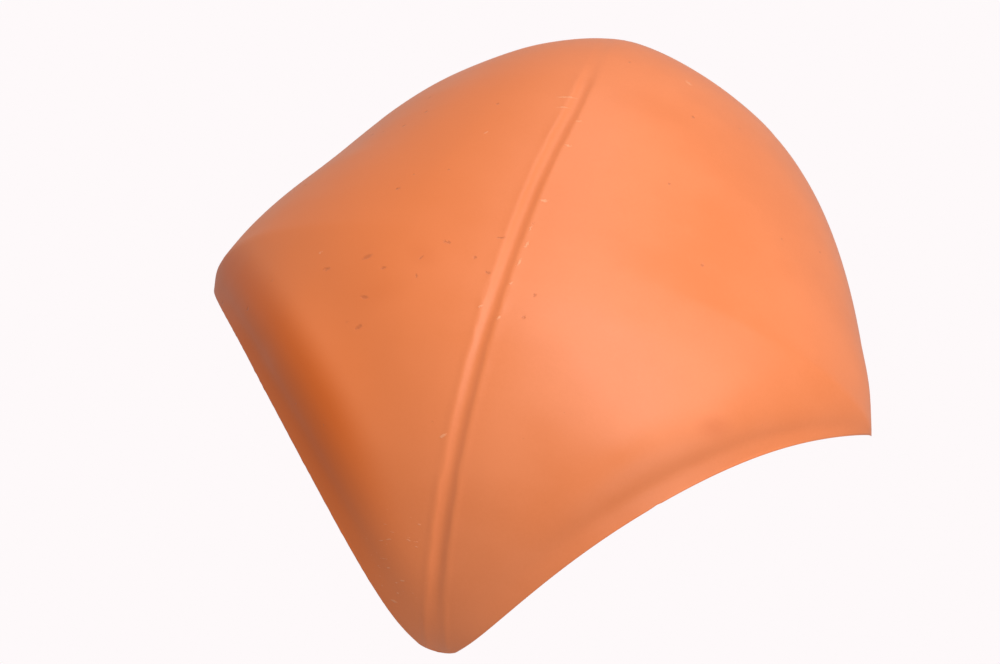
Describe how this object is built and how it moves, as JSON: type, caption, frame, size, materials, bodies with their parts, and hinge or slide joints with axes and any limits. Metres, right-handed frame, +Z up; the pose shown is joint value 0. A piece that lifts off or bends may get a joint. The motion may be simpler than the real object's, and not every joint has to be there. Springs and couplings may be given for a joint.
{
  "type": "hip end cap tile",
  "caption": "Hollow domed clay cap tile for a roof corner, with a blunt nose, arched cut-outs beside it, an arched rear opening and a grooved seam over the middle.",
  "frame": {"origin": "centre of the footprint, at the level that the toe and the two side feet stand on", "axes": "+Z up; -Y towards the nose, +Y towards the rear opening; X = 0 is the mirror plane that holds the seam"},
  "size_m": [0.354, 0.3436, 0.1249],
  "materials": {
    "fired_clay": "unglazed, smooth, slightly mottled orange fired clay"
  },
  "bodies": {
    "root": {"hip_end_cap": "fired_clay"}
  },
  "joints": []
}
